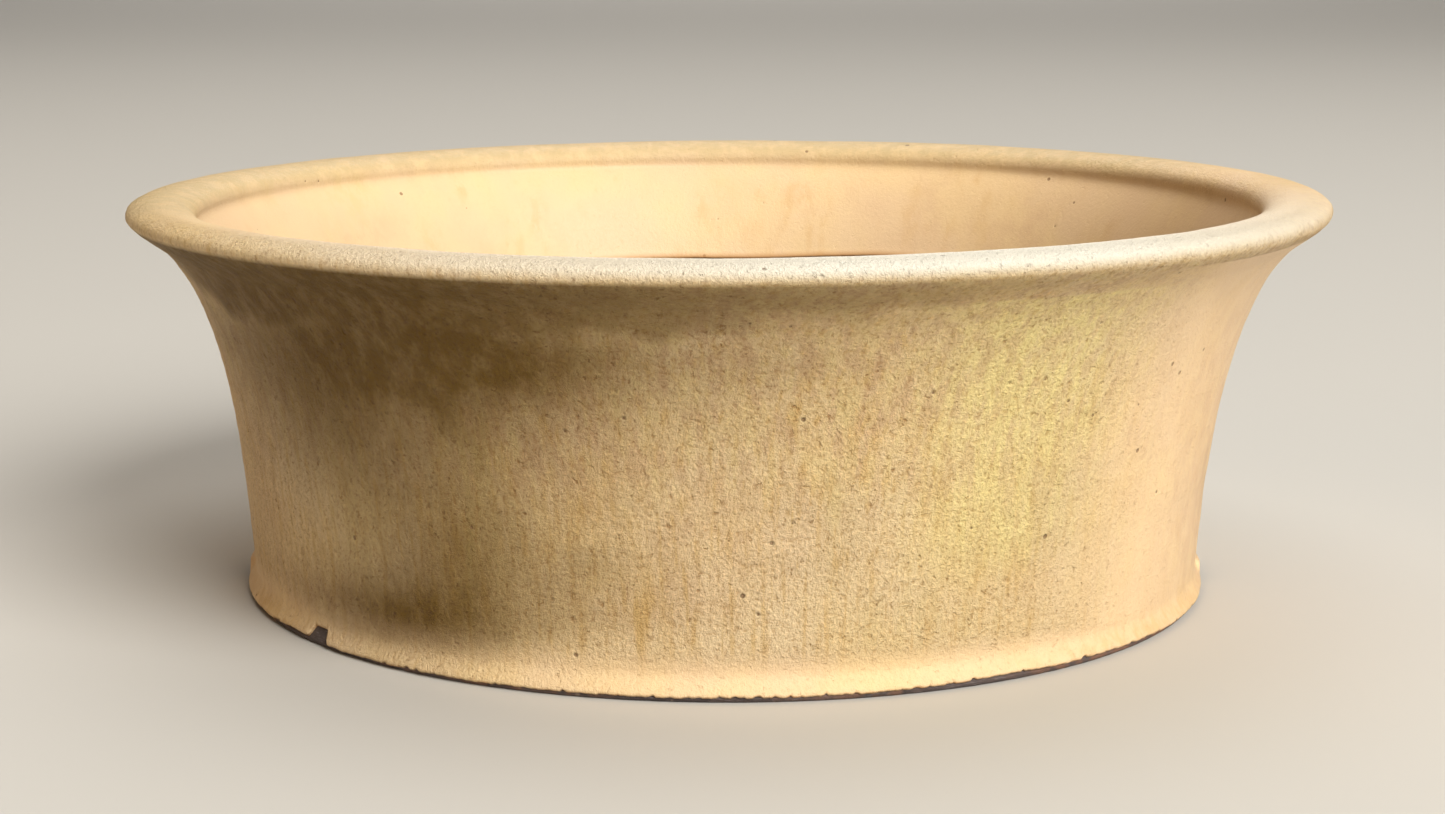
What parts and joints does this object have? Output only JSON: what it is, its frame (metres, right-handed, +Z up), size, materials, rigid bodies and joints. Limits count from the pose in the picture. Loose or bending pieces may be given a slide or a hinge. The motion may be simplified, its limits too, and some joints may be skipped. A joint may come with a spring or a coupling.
{
  "type": "bonsai pot",
  "caption": "Round stoneware bonsai pot with a flared wall, thick everted lip, low notched foot, cream glaze, and drain holes under clipped mesh screens.",
  "frame": {"origin": "centre of the foot, on the surface that the pot stands on", "axes": "+Z up along the pot's axis; the front of the picture faces -Y; the two drain notches lie on X"},
  "size_m": [0.3, 0.3, 0.099],
  "materials": {
    "clay": "dry unglazed stoneware, dark brown-grey with coarse grog",
    "glaze": "satin cream glaze with a sandy grain, ochre and brown runs and pinholes",
    "screen": "matt black-green moulded mesh",
    "clip_wire": "soft drawn wire, dull"
  },
  "bodies": {
    "root": {"wall": "clay", "rim": "clay", "floor_slab": "clay", "foot_ring": "clay", "seam_coil": "clay", "glaze_coat": "glaze", "drain_screen_1": "screen", "drain_screen_2": "screen", "drain_screen_3": "screen", "drain_screen_4": "screen", "drain_screen_5": "screen", "screen_clip_1": "clip_wire", "screen_clip_2": "clip_wire", "screen_clip_3": "clip_wire", "screen_clip_4": "clip_wire", "screen_clip_5": "clip_wire"}
  },
  "joints": []
}
